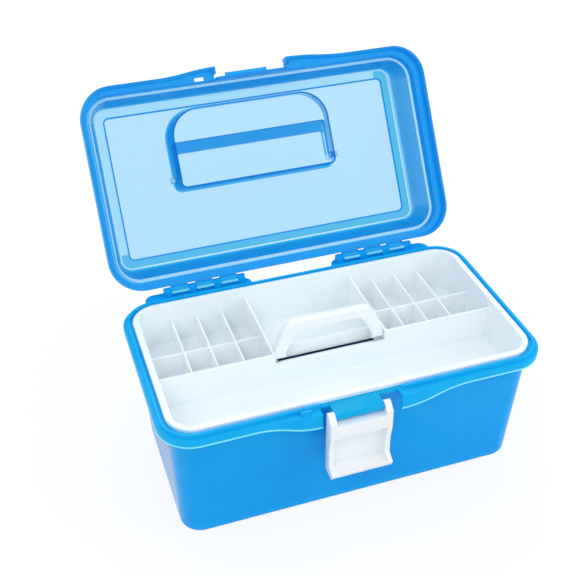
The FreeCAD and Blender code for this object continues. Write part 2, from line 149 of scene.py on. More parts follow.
class Wire:
    """A node socket that takes part in Python expressions on numbers."""

    def __init__(self, graph: "Graph", socket: bpy.types.NodeSocket) -> None:
        """Keep the socket and the graph that it belongs to."""
        self.graph = graph
        self.socket = socket

    def _math(self, operation: str, first: Any, second: Any) -> "Wire":
        """Add one Math node on two values."""
        return self.graph.add("ShaderNodeMath", {"operation": operation}, {0: first, 1: second})

    def __add__(self, other: Any) -> "Wire":
        """self + other."""
        return self._math("ADD", self, other)

    __radd__ = __add__

    def __sub__(self, other: Any) -> "Wire":
        """self - other."""
        return self._math("SUBTRACT", self, other)

    def __rsub__(self, other: Any) -> "Wire":
        """other - self."""
        return self._math("SUBTRACT", other, self)

    def __mul__(self, other: Any) -> "Wire":
        """self * other."""
        return self._math("MULTIPLY", self, other)

    __rmul__ = __mul__

    def clamped(self) -> "Wire":
        """The value held between 0 and 1."""
        return self.graph.add("ShaderNodeClamp", {}, {0: self})


class Graph:
    """A node tree that grows by one method."""

    def __init__(self, tree: bpy.types.NodeTree) -> None:
        """Empty the tree and keep it."""
        tree.nodes.clear()
        self.tree = tree

    def add(self, kind: str, settings: dict, inputs: dict, output: Any = 0) -> Wire:
        """Add a node.

        Args:
            kind: The node's type name.
            settings: Attributes set before its sockets.
            inputs: Values or wires by socket name or index.
            output: The output that the returned wire stands for.

        Returns:
            The chosen output as a wire.
        """
        node = self.tree.nodes.new(kind)
        for key, value in settings.items():
            setattr(node, key, value)
        for key, value in inputs.items():
            if isinstance(value, Wire):
                self.tree.links.new(value.socket, node.inputs[key])
            else:
                node.inputs[key].default_value = value
        return Wire(self, node.outputs[output]) if len(node.outputs) else Wire(self, None)

    def noise(self, where: Wire, scale: float, detail: float, roughness: float = 0.5) -> Wire:
        """Soft noise from 0 to 1 at a scale in cells a metre."""
        return self.add("ShaderNodeTexNoise", {}, {
            "Vector": where, "Scale": scale, "Detail": detail, "Roughness": roughness})

    def ramp(self, value: Wire, low: float, high: float) -> Wire:
        """0 below low, 1 above high, and even between."""
        return self.add("ShaderNodeMapRange", {"clamp": True}, {
            "Value": value, "From Min": low, "From Max": high})

    def blend(self, share: Any, first: Any, second: Any) -> Wire:
        """Mix two colours, which are inputs 6 and 7 and output 2 of the node."""
        return self.add("ShaderNodeMix", {"data_type": "RGBA"}, {0: share, 6: first, 7: second}, 2)

    def mix(self, share: Any, first: Wire, second: Wire) -> Wire:
        """Mix two shaders."""
        return self.add("ShaderNodeMixShader", {}, {0: share, 1: first, 2: second})


def rgba(colour: Colour) -> tuple[float, float, float, float]:
    """A colour with full alpha."""
    return (*colour, 1.0)


def new_material(name: str) -> tuple[bpy.types.Material, Graph]:
    """Start a node material.

    Args:
        name: The material's name.

    Returns:
        The material, with an empty node tree, and the tree's graph.
    """
    material = bpy.data.materials.new(name)
    material.use_nodes = True
    return material, Graph(material.node_tree)


@dataclass(frozen=True)
class Moulding:
    """What every moulded surface has: fine grain, faint flow marks and scuffs.

    Lengths are in metres, strengths, bands and shares run from 0 to 1, and the stretch is a ratio.
    """

    grain: float = 0.45 * MM
    grain_height: float = 0.012 * MM
    ripple: float = 38 * MM
    ripple_height: float = 0.10 * MM
    ripple_strength: float = 0.35
    grain_strength: float = 0.5
    flow_band: Band = (0.3, 0.7)
    scuff: float = 9 * MM
    scuff_stretch: Place = (1.0, 7.0, 7.0)
    scuff_band: Band = (0.62, 0.78)
    scuff_share: float = 0.05

    def coordinates(self, graph: Graph) -> Wire:
        """Object coordinates, in metres."""
        return graph.add("ShaderNodeTexCoord", {}, {}, "Object")

    def scuffs(self, graph: Graph, where: Wire) -> Wire:
        """A mask of fine rubbed streaks.

        Args:
            graph: The material's graph.
            where: The object coordinates.

        Returns:
            The mask, 1 where the surface is rubbed.
        """
        drawn = graph.add("ShaderNodeMapping", {}, {"Vector": where, "Scale": self.scuff_stretch})
        streaks = graph.noise(drawn, 1 / self.scuff, detail=5.0, roughness=0.65)
        return graph.ramp(streaks, *self.scuff_band)

    def flow(self, graph: Graph, where: Wire) -> Wire:
        """Slow changes over the surface, from 0 to 1."""
        return graph.noise(where, 1 / self.ripple, detail=2.0)

    def colour(self, graph: Graph, flow: Wire, body: Colour, body_dark: Colour) -> Wire:
        """The body's colour, a little darker where the flow is high."""
        return graph.blend(graph.ramp(flow, *self.flow_band), rgba(body), rgba(body_dark))

    def normal(self, graph: Graph, where: Wire) -> Wire:
        """Grain over slow ripples.

        Args:
            graph: The material's graph.
            where: The object coordinates.

        Returns:
            The bumped normal.
        """
        ripples = graph.noise(where, 1 / self.ripple, detail=1.0)
        slow = graph.add("ShaderNodeBump", {}, {
            "Strength": self.ripple_strength, "Distance": self.ripple_height, "Height": ripples})
        grains = graph.noise(where, 1 / self.grain, detail=2.0)
        return graph.add("ShaderNodeBump", {}, {
            "Strength": self.grain_strength, "Distance": self.grain_height, "Height": grains,
            "Normal": slow})


@dataclass(frozen=True)
class ClearBlue:
    """Clear blue plastic: tinted see-through with a little of its own colour.

    Light that crosses the wall at a slant has further to go, so it leaves deeper in colour.
    """

    name: str
    pale_tint: Colour
    deep_tint: Colour
    body: Colour
    body_dark: Colour
    cloud: float
    cloud_at_slant: float
    gloss: float = 0.32
    roughness: float = 0.14
    rubbed_rougher: float = 0.25
    flow_rougher: float = 0.08
    refraction: float = 1.5
    sheen_refraction: float = 1.45
    shine: float = 0.05
    tint_turn: Band = (0.10, 0.55)
    cloud_turn: Band = (0.15, 0.70)
    moulding: Moulding = Moulding()

    def material(self) -> bpy.types.Material:
        """Build the material.

        Returns:
            The finished material.
        """
        material, graph = new_material(self.name)
        where = self.moulding.coordinates(graph)
        scuffs = self.moulding.scuffs(graph, where)
        normal = self.moulding.normal(graph, where)
        slant = graph.add("ShaderNodeLayerWeight", {}, {"Blend": 0.5}, "Facing")
        flow = self.moulding.flow(graph, where)
        rough = scuffs * self.rubbed_rougher + flow * self.flow_rougher
        body = graph.add("ShaderNodeBsdfPrincipled", {}, {
            "Base Color": self.moulding.colour(graph, flow, self.body, self.body_dark),
            "Roughness": (rough + (self.roughness - self.flow_rougher / 2)).clamped(),
            "IOR": self.refraction, "Specular IOR Level": self.shine, "Normal": normal})
        pale = graph.add("ShaderNodeBsdfTransparent", {}, {"Color": rgba(self.pale_tint)})
        deep = graph.add("ShaderNodeBsdfTransparent", {}, {"Color": rgba(self.deep_tint)})
        through = graph.mix(graph.ramp(slant, *self.tint_turn), pale, deep)
        turned = graph.ramp(slant, *self.cloud_turn)
        share = turned * (self.cloud_at_slant - self.cloud) + scuffs * self.moulding.scuff_share
        clear = graph.mix((share + self.cloud).clamped(), through, body)
        gloss = graph.add("ShaderNodeBsdfGlossy", {}, {"Roughness": self.roughness, "Normal": normal})
        sheen = graph.add("ShaderNodeFresnel", {}, {"IOR": self.sheen_refraction, "Normal": normal})
        surface = graph.mix(sheen * self.gloss, clear, gloss)
        graph.add("ShaderNodeOutputMaterial", {}, {"Surface": surface})
        return material


@dataclass(frozen=True)
class MilkWhite:
    """White plastic that lets a little light sink in."""

    name: str
    body: Colour = (0.89, 0.94, 0.975)
    body_dark: Colour = (0.86, 0.92, 0.96)
    rubbed: Colour = (0.82, 0.86, 0.90)
    roughness: float = 0.34
    rubbed_rougher: float = 0.2
    flow_rougher: float = 0.1
    rubbed_share: float = 0.3
    refraction: float = 1.49
    sink_share: float = 0.25
    sink_depth: float = 4 * MM
    moulding: Moulding = Moulding()

    def material(self) -> bpy.types.Material:
        """Build the material.

        Returns:
            The finished material.
        """
        material, graph = new_material(self.name)
        where = self.moulding.coordinates(graph)
        scuffs = self.moulding.scuffs(graph, where)
        flow = self.moulding.flow(graph, where)
        clean = self.moulding.colour(graph, flow, self.body, self.body_dark)
        rough = scuffs * self.rubbed_rougher + flow * self.flow_rougher
        surface = graph.add("ShaderNodeBsdfPrincipled", {}, {
            "Base Color": graph.blend(scuffs * self.rubbed_share, clean, rgba(self.rubbed)),
            "Roughness": (rough + (self.roughness - self.flow_rougher / 2)).clamped(),
            "IOR": self.refraction,
            "Subsurface Weight": self.sink_share, "Subsurface Scale": self.sink_depth,
            "Normal": self.moulding.normal(graph, where)})
        graph.add("ShaderNodeOutputMaterial", {}, {"Surface": surface})
        return material


def finish_piece(piece: bpy.types.Object, body: Body, slot: Slot, *nodes: str) -> bpy.types.Object:
    """Tell the frame what a piece is.

    Args:
        piece: The finished object.
        body: The body that it rides on.
        slot: The record's slot for its finish. Not used.
        nodes: The CAD nodes that it stands for.

    Returns:
        The same object.
    """
    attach(piece, body.value)
    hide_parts(*nodes)
    log.info("%s: %d faces on %s", piece.name, len(piece.data.polygons), body.value)
    return piece


def shade_by_angle(mesh: bpy.types.Mesh, sharp_over: float) -> None:
    """Shade a mesh smooth, with edges over an angle kept sharp."""
    mesh.polygons.foreach_set("use_smooth", [True] * len(mesh.polygons))
    mesh.set_sharp_from_angle(angle=sharp_over)


def moulded_copy(node: str, name: str, easing: float, *materials: bpy.types.Material,
                 draw_lines: Callable[[bmesh.types.BMesh], None] | None = None) -> bpy.types.Object:
    """A merged copy of a CAD node with its sharp edges eased.

    Args:
        node: The CAD node.
        name: The new piece's name.
        easing: Width of the eased edges, in metres.
        materials: The finish all over, then others for zones and lines, the eased edges' last.
        draw_lines: What splits lines and zones of painted highlight and painted shade off the merged
            shape's faces, each with its own finish.

    Returns:
        The new object, at the origin.
    """
    shape = bmesh.new()
    shape.from_mesh(frame["nodes"][node].data)
    bmesh.ops.remove_doubles(shape, verts=shape.verts, dist=SAME_CORNER)
    bmesh.ops.dissolve_limit(shape, angle_limit=FLAT_UNDER, verts=shape.verts,
                             edges=shape.edges, delimit={"NORMAL"})
    mesh = bpy.data.meshes.new(name)
    for face in shape.faces:
        face.material_index = 0
    if draw_lines:
        draw_lines(shape)
    shape.to_mesh(mesh)
    shape.free()
    for material in materials:
        mesh.materials.append(material)
    piece = bpy.data.objects.new(name, mesh)
    bpy.context.scene.collection.objects.link(piece)
    bevel = piece.modifiers.new("eased_edges", "BEVEL")
    bevel.width = easing
    bevel.segments = EASING_STEPS
    bevel.material = len(materials) - 1
    bevel.limit_method = "ANGLE"
    bevel.angle_limit = EASED_OVER
    bevel.use_clamp_overlap = True
    return made_plain(piece, SHARP_OVER)


def made_plain(piece: bpy.types.Object, sharp_over: float) -> bpy.types.Object:
    """Turn an object with modifiers into a plain mesh, shaded by angle.

    Args:
        piece: The object.
        sharp_over: The angle over which its edges stay sharp.

    Returns:
        The same object, with a new mesh and no modifiers.
    """
    graph = bpy.context.evaluated_depsgraph_get()
    mesh = bpy.data.meshes.new_from_object(piece.evaluated_get(graph))
    piece.modifiers.clear()
    piece.data = mesh
    mesh.name = piece.name
    shade_by_angle(mesh, sharp_over)
    return piece


def split_along(shape: bmesh.types.BMesh, edges: list[bmesh.types.BMEdge], width: float,
                index: int) -> None:
    """Split a strip off the faces on both sides of some edges, in place, and give it a finish."""
    bmesh.ops.bevel(shape, geom=edges, offset=width, offset_type="OFFSET", segments=2, profile=1.0,
                    affect="EDGES", clamp_overlap=False, material=index)


def inset_strip(shape: bmesh.types.BMesh, faces: list[bmesh.types.BMFace],
                width: float) -> list[bmesh.types.BMFace]:
    """Split a strip off all round a patch of flat faces, in place, and return the strip's faces."""
    return bmesh.ops.inset_region(shape, faces=faces, thickness=width, use_boundary=True,
                                  use_even_offset=True)["faces"]


def split_faces(shape: bmesh.types.BMesh, faces: list[bmesh.types.BMFace], place: Vector,
                way: Vector) -> None:
    """Split some faces where they cross a plane.

    Args:
        shape: The shape that the faces belong to.
        faces: The faces.
        place: A place on the plane.
        way: The plane's normal.
    """
    edges = [edge for face in faces for edge in face.edges]
    corners = [corner for face in faces for corner in face.verts]
    bmesh.ops.bisect_plane(shape, geom=list(dict.fromkeys([*faces, *edges, *corners])),
                           plane_co=place, plane_no=way)


def give_zone(piece: bpy.types.Object, index: int, holds: Callable[[Vector], bool],
              among: int = 0) -> None:
    """Give a finish to the faces of another finish whose middle passes a test.

    Args:
        piece: The dressed object.
        index: The material index to give.
        holds: The test on a face's middle.
        among: The material index that the faces have so far.
    """
    for polygon in piece.data.polygons:
        if polygon.material_index == among and holds(polygon.center):
            polygon.material_index = index


def lid_closing() -> Matrix:
    """Work out how the lid closes.

    Returns:
        The turn about the hinge that takes the open lid to where it lies closed.
    """
    hinge = next(joint for joint in frame["joints"] if joint["name"] == "lid_hinge")
    pivot = Matrix.Translation(hinge["pos_m"])
    turn = Matrix.Rotation(math.radians(hinge["range_deg"][1]), 4, Vector(hinge["axis"]))
    return pivot @ turn @ pivot.inverted()


def painted_highlight(name: str, body: Colour = (0.36, 0.84, 1.0), cloud: float = 0.45,
              slant_gain: float = 0.15) -> ClearBlue:
    """A painted highlight for eased edges and bright lines: a pale, cloudy blue in place of the light that
    clear plastic carries to its edges.
    """
    return ClearBlue(name=name, pale_tint=(0.62, 0.93, 1.0), deep_tint=(0.30, 0.78, 1.0), body=body,
                     body_dark=body, cloud=cloud, cloud_at_slant=cloud + slant_gain, roughness=0.10)


@dataclass
class TubAssembly:
    """The tub that stands on the table.

    The rim and the lip are measured from the lower side of the hinge pins, and the foot from the table.
    """

    easing: float = 0.8 * MM
    lip: float = 1.5 * MM
    rim_band: float = 16.5 * MM
    lip_band: Band = (-16.5 * MM, -7.5 * MM)
    foot_band: Band = (0.9 * MM, 2.2 * MM)
    post_reach: float = 2.2 * MM
    finish: ClearBlue = field(default_factory=lambda: ClearBlue(
        name="tub_clear_blue", pale_tint=(0.06, 0.68, 1.0), deep_tint=(0.02, 0.52, 0.97),
        body=(0.002, 0.46, 1.0), body_dark=(0.002, 0.42, 0.99), cloud=0.72, cloud_at_slant=0.85,
        gloss=0.08))
    # Painted light: the rim and skirt take a lighter copy of the tub's blue.
    rim_blue_and_painted_light: ClearBlue = field(default_factory=lambda: ClearBlue(
        name="tub_rim_painted_light_blue", pale_tint=(0.16, 0.72, 1.0), deep_tint=(0.05, 0.56, 0.98),
        body=(0.012, 0.62, 1.0), body_dark=(0.010, 0.57, 0.98), cloud=0.60, cloud_at_slant=0.75,
        gloss=0.1))
    # A painted highlight along the skirt's lower lip.
    lip_highlight: ClearBlue = field(default_factory=lambda: painted_highlight(
        "tub_lip_painted_highlight", body=(0.25, 0.90, 1.0), cloud=0.85))
    # A painted highlight on the eased edges and along the foot.
    edge_highlight: ClearBlue = field(default_factory=lambda: painted_highlight("tub_edge_painted_highlight"))

    def draw_lines(self, shape: bmesh.types.BMesh) -> None:
        """Split a painted highlight line off along the skirt's lower lip.

        Args:
            shape: The tub's merged shape.
        """
        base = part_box("hinge_pin_left")[0].z
        low, high = self.lip_band
        latch_left, latch_right = (corner.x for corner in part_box("latch"))

        def of_lip(edge: bmesh.types.BMEdge) -> bool:
            """Tell the skirt's outer lower edge from the others.

            Args:
                edge: Any edge of the tub.

            Returns:
                Whether it is part of that edge, and clear of the latch.
            """
            if len(edge.link_faces) != 2:
                return False
            middle = (edge.verts[0].co + edge.verts[1].co) / 2
            under, side = sorted((face.normal for face in edge.link_faces), key=lambda n: n.z)
            outward = side.xy.dot(middle.xy) > 0 and abs(side.z) < UPRIGHT
            beside = not latch_left < middle.x < latch_right or middle.y > 0
            return outward and beside and under.z < -UNDER and low < middle.z - base < high

        split_along(shape, [edge for edge in shape.edges if of_lip(edge)], self.lip, TubZone.LIP)

    def build(self) -> None:
        """Make and dress the tub, its rim and skirt painted lighter than its walls and its hinge posts."""
        tub = moulded_copy(
            "base_tub", "tub_shell", self.easing, self.finish.material(), self.rim_blue_and_painted_light.material(),
            self.lip_highlight.material(), self.edge_highlight.material(), draw_lines=self.draw_lines)
        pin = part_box("hinge_pin_left")[0]

        def of_rim(middle: Vector) -> bool:
            """Whether a place is on the rim or skirt and not on a hinge post."""
            post = middle.y > pin.y - self.post_reach and middle.z > pin.z - self.post_reach
            return middle.z > pin.z - self.rim_band and not post

        low, high = self.foot_band
        # The rim and skirt get the lighter, painted light copy of the blue.
        give_zone(tub, TubZone.RIM, of_rim)
        # A band at the foot gets the same painted highlight.
        give_zone(tub, TubZone.EDGE, lambda middle: low < middle.z < high)
        finish_piece(tub, Body.TUB, Slot.BLUE, "base_tub")


@dataclass
class LidAssembly:
    """The open lid and the carry handle folded into its pocket, measured as they lie closed."""

    easing: float = 0.8 * MM
    wall: float = 1.7 * MM
    panel_rise: float = 1.2 * MM
    pocket_depth: float = 18 * MM
    ledge_drop: float = 31.2 * MM
    rim_start: float = 0.2 * MM
    shade_start: float = 5 * MM
    panel_line: float = 1.3 * MM
    pocket_line: float = 1.7 * MM
    knuckle_reach: float = 3.8 * MM
    glint_band: Band = (0.0, 1.9 * MM)
    leg_length: float = 24 * MM
    stub_length: float = 7.2 * MM
    finish: ClearBlue = field(default_factory=lambda: ClearBlue(
        name="lid_clear_blue", pale_tint=(0.71, 0.89, 0.995), deep_tint=(0.10, 0.60, 0.91),
        body=(0.015, 0.46, 0.96), body_dark=(0.012, 0.40, 0.93), cloud=0.05, cloud_at_slant=0.35))
    rim_blue_and_painted_light: ClearBlue = field(default_factory=lambda: ClearBlue(
        name="lid_rim_clear_blue", pale_tint=(0.15, 0.64, 0.94), deep_tint=(0.07, 0.54, 0.92),
        body=(0.010, 0.44, 0.98), body_dark=(0.008, 0.40, 0.95), cloud=0.25, cloud_at_slant=0.45))
    knuckle_finish: ClearBlue = field(default_factory=lambda: ClearBlue(
        name="knuckle_clear_blue", pale_tint=(0.30, 0.80, 1.0), deep_tint=(0.12, 0.66, 0.98),
        body=(0.015, 0.50, 0.98), body_dark=(0.012, 0.45, 0.96), cloud=0.55, cloud_at_slant=0.65))
    # Painted shade lines round the panel and the pocket's floor.
    painted_shade_line: ClearBlue = field(default_factory=lambda: ClearBlue(
        name="painted_shade_line_blue", pale_tint=(0.05, 0.42, 0.82), deep_tint=(0.03, 0.36, 0.78),
        body=(0.004, 0.26, 0.78), body_dark=(0.003, 0.23, 0.74), cloud=0.40, cloud_at_slant=0.5,
        gloss=0.16))
    # Unshaded and painted shade copies of the margin's blue.
    unshaded_margin: ClearBlue = field(default_factory=lambda: ClearBlue(
        name="unshaded_margin_blue", pale_tint=(0.56, 0.85, 0.98), deep_tint=(0.10, 0.58, 0.91),
        body=(0.02, 0.48, 0.92), body_dark=(0.015, 0.44, 0.9), cloud=0.08, cloud_at_slant=0.35))
    painted_shade_margin: ClearBlue = field(default_factory=lambda: ClearBlue(
        name="painted_shade_margin_blue", pale_tint=(0.15, 0.60, 0.85), deep_tint=(0.06, 0.48, 0.76),
        body=(0.02, 0.42, 0.72), body_dark=(0.015, 0.38, 0.7), cloud=0.08, cloud_at_slant=0.35))
    # A painted highlight on the ledge's ring and beside the panel line.
    pale_highlight: ClearBlue = field(default_factory=lambda: painted_highlight(
        "lid_pale_painted_highlight", body=(0.75, 0.96, 1.0), cloud=0.6))
    # A painted highlight on the eased edges and the knuckles' glints.
    edge_highlight: ClearBlue = field(default_factory=lambda: painted_highlight(
        "lid_edge_painted_highlight", body=(0.25, 0.93, 1.0), cloud=0.75))
    handle_finish: ClearBlue = field(default_factory=lambda: ClearBlue(
        name="handle_clear_blue", pale_tint=(0.24, 0.72, 0.93), deep_tint=(0.10, 0.58, 0.90),
        body=(0.01, 0.42, 0.85), body_dark=(0.008, 0.38, 0.82), cloud=0.20, cloud_at_slant=0.4))
    leg_finish: ClearBlue = field(default_factory=lambda: ClearBlue(
        name="leg_clear_blue", pale_tint=(0.95, 0.985, 1.0), deep_tint=(0.82, 0.95, 1.0),
        body=(0.05, 0.5, 0.92), body_dark=(0.04, 0.46, 0.9), cloud=0.01, cloud_at_slant=0.04,
        gloss=0.15))
    # A painted highlight on the pivot stubs.
    stub_highlight: ClearBlue = field(default_factory=lambda: painted_highlight(
        "stub_painted_highlight", body=(0.55, 0.93, 1.0), cloud=0.6))

    def draw_lines(self, shape: bmesh.types.BMesh) -> None:
        """Split painted shade lines, painted highlights and a painted shade zone off round the panel, the
        pocket, the dome's top and its foot.

        Args:
            shape: The lid's merged shape, open.
        """
        closing = lid_closing()
        level = closing.to_3x3()
        panel = max((closing @ vertex.co).z for vertex in shape.verts) - self.wall
        margin = panel - self.panel_rise

        def inner_faces(height: float) -> list[bmesh.types.BMFace]:
            """The faces that look down from a height when the lid is closed."""
            return [face for face in shape.faces if (level @ face.normal).z < -ALONG
                    and abs((closing @ face.calc_center_median()).z - height) < SAME_PLACE]

        places = [closing @ vertex.co for face in inner_faces(panel) for vertex in face.verts]
        left, right = (pick(place.x for place in places) for pick in (min, max))
        front, back = (pick(place.y for place in places) for pick in (min, max))
        opening = closing.inverted()
        # Painted shade: the margin's right and back parts take a darker copy of its blue, the rest the
        # unshaded copy.
        deep = Vector((right - self.shade_start, back - self.shade_start))
        for way, reach in ((ALONG_X, deep.x), (ALONG_Y, deep.y)):
            split_faces(shape, inner_faces(margin), opening @ (way * reach), opening.to_3x3() @ way)
        for face in inner_faces(margin):
            place = closing @ face.calc_center_median()
            shaded = place.x > deep.x or place.y > deep.y
            face.material_index = LidZone.SHADED_MARGIN if shaded else LidZone.MARGIN
        # The ledge's ring gets a painted highlight.
        for face in inner_faces(panel - self.ledge_drop):
            face.material_index = LidZone.PALE_HIGHLIGHT
        # A strip round the margin: a painted shade line along the panel, a painted highlight beyond it.
        for face in inset_strip(shape, inner_faces(margin), self.panel_line):
            place = closing @ face.calc_center_median()
            along = left - self.panel_line < place.x < right + self.panel_line
            across = front - self.panel_line < place.y < back + self.panel_line
            face.material_index = LidZone.LINE if along and across else LidZone.PALE_HIGHLIGHT
        # A painted shade line round the pocket's floor.
        for face in inset_strip(shape, inner_faces(panel - self.pocket_depth), self.pocket_line):
            face.material_index = LidZone.LINE

    def painted_glint(self, arm: Vector) -> bool:
        """Whether a place, measured from the hinge's axis, is on a knuckle's front, where a glint is
        painted.
        """
        low, high = self.glint_band
        return arm.yz.length < self.knuckle_reach and arm.y < 0 and low < arm.z < high

    def build(self) -> None:
        """Make and dress the lid and its handle."""
        lid = moulded_copy(
            "lid", "lid_shell", self.easing, self.finish.material(), self.rim_blue_and_painted_light.material(),
            self.knuckle_finish.material(), self.painted_shade_line.material(), self.unshaded_margin.material(),
            self.painted_shade_margin.material(), self.pale_highlight.material(), self.edge_highlight.material(),
            draw_lines=self.draw_lines)
        closing = lid_closing()
        top = max((closing @ vertex.co).z for vertex in lid.data.vertices)
        ledge = top - self.wall - self.ledge_drop
        low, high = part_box("hinge_pin_left")
        axis = (low + high) / 2
        # Painted glints on the knuckles' fronts, in the eased edges' painted highlight.
        give_zone(lid, LidZone.EDGE, lambda middle: self.painted_glint(middle - axis))
        give_zone(lid, LidZone.KNUCKLE, lambda middle: (middle - axis).yz.length < self.knuckle_reach)
        give_zone(lid, LidZone.RIM, lambda middle: (closing @ middle).z < ledge - self.rim_start)
        finish_piece(lid, Body.LID, Slot.BLUE, "lid")
        self.build_handle(closing)

    def build_handle(self, closing: Matrix) -> None:
        """Make and dress the carry handle: a blue bar, clearer legs and pivot stubs with a painted
        highlight.

        Args:
            closing: The turn that takes the open lid to where it lies closed.
        """
        bar = self.handle_finish.material()
        handle = moulded_copy(
            "carry_handle", "folding_carry_handle", self.easing, bar, self.leg_finish.material(),
            self.stub_highlight.material(), bar)
        closed = [closing @ vertex.co for vertex in handle.data.vertices]
        back = max(place.y for place in closed)
        left, right = (pick(place.x for place in closed) for pick in (min, max))

        def of_stub(middle: Vector) -> bool:
            """Whether a place is on a pivot stub."""
            return min(right - middle.x, middle.x - left) < self.stub_length

        def of_leg(middle: Vector) -> bool:
            """Whether a place is on a leg."""
            return (closing @ middle).y > back - self.leg_length

        for among in (BarZone.BAR, BarZone.EDGE):
            give_zone(handle, BarZone.STUB, of_stub, among)
            give_zone(handle, BarZone.LEG, of_leg, among)
        finish_piece(handle, Body.CARRY_HANDLE, Slot.BLUE, "carry_handle")


@dataclass
class TrayAssembly:
    """The lift-out tray and its swinging handle.

    The slot in the handle's channel opens into the dark under the tray, so its throat is painted with
    shade. The channel and the throat are measured down, and the slot's front and back lie along Y.
    """

    easing: float = 0.4 * MM
    channel_depth: float = 22 * MM
    slot_edge: float = 0.3 * MM
    throat: float = 3.2 * MM
    slot_half: float = 45 * MM
    slot_front: float = -0.35 * MM
    slot_back: float = 2.7 * MM
    finish: MilkWhite = field(default_factory=lambda: MilkWhite(name="tray_milk_white"))
    # Painted shade: a dark navy copy of the white plastic for the slot's throat.
    shade: MilkWhite = field(default_factory=lambda: MilkWhite(
        name="slot_shade", body=(0.004, 0.035, 0.13), body_dark=(0.004, 0.03, 0.11),
        rubbed=(0.01, 0.05, 0.16)))

    def draw_lines(self, shape: bmesh.types.BMesh) -> None:
        """Split the slot's throat off the channel's rear wall and paint shade on it.

        Args:
            shape: The tray's merged shape.
        """
        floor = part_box("tray")[1].z - self.channel_depth
        high, low = floor - self.slot_edge, floor - self.throat
        for height in (high, low):
            wall = [face for face in shape.faces if abs(face.normal.y) > ALONG
                    and abs(face.calc_center_median().y - self.slot_back) < SAME_PLACE]
            split_faces(shape, wall, ALONG_Z * height, ALONG_Z)
        for face in shape.faces:
            middle = face.calc_center_median()
            across = self.slot_front < middle.y < self.slot_back + SAME_PLACE
            if across and abs(middle.x) < self.slot_half and low < middle.z < high:
                face.material_index = TrayZone.THROAT

    def build(self) -> None:
        """Make and dress the tray and its handle."""
        material = self.finish.material()
        tray = moulded_copy("tray", "divided_tray", self.easing, material, self.shade.material(), material,
                            draw_lines=self.draw_lines)
        finish_piece(tray, Body.TRAY, Slot.WHITE, "tray")
        handle = moulded_copy("tray_handle", "tray_bail", self.easing, material)
        finish_piece(handle, Body.TRAY_HANDLE, Slot.WHITE, "tray_handle")


@dataclass
class LatchAssembly:
    """The snap latch that hangs from the tub's rim."""

    easing: float = 0.4 * MM
    finish: MilkWhite = field(default_factory=lambda: MilkWhite(
        name="latch_milk_white", body=(0.88, 0.905, 0.93), body_dark=(0.85, 0.885, 0.915)))

    def build(self) -> None:
        """Make and dress the latch."""
        latch = moulded_copy("latch", "snap_latch", self.easing, self.finish.material())
        finish_piece(latch, Body.LATCH, Slot.WHITE, "latch")


